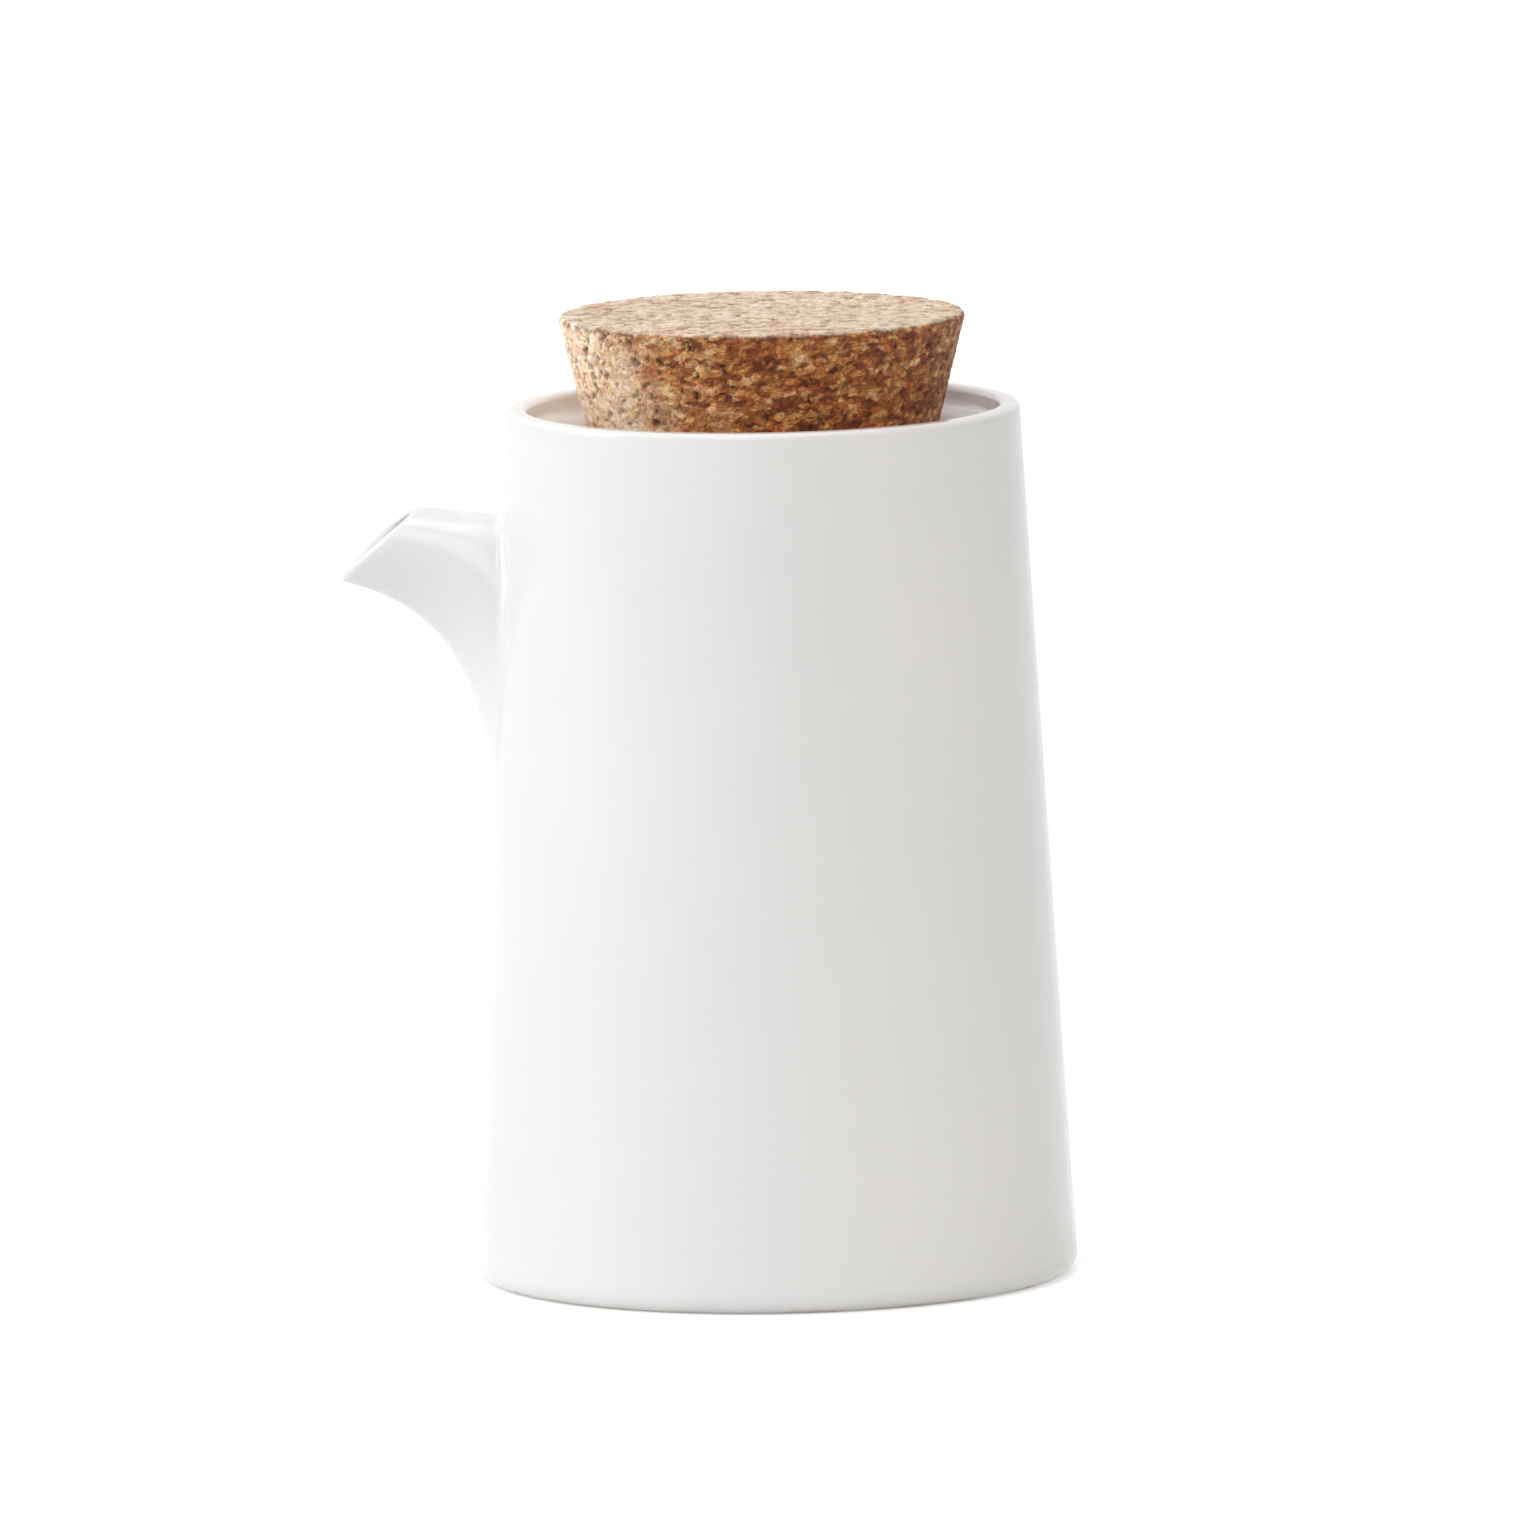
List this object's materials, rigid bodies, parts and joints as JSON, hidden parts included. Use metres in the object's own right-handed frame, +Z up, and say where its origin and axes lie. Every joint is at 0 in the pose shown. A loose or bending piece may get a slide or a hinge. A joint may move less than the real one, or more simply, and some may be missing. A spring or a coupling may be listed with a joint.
{
  "type": "oil dispenser",
  "caption": "White glazed porcelain oil jug with a conical body, a beak-shaped pouring spout and a recessed mouth closed by a tapered cork stopper that lifts out.",
  "frame": {"origin": "on the jug's axis, in the plane of the foot ring that it stands on", "axes": "+Z up along the jug's axis; the spout points along -X; the reference picture looks along +Y, slightly downwards"},
  "size_m": [0.0935, 0.0778, 0.1248],
  "materials": {
    "porcelain": "smooth clear glaze over white porcelain, bare on the foot ring",
    "cork": "raw granulated cork, cut and sanded"
  },
  "bodies": {
    "jug": {"jug_body": "porcelain"},
    "stopper": {"cork_stopper": "cork"}
  },
  "joints": [
    {"name": "stopper_lift", "type": "slide", "parent": "jug", "child": "stopper", "axis": [0, 0, 1], "range_m": [0, 0.04]}
  ]
}
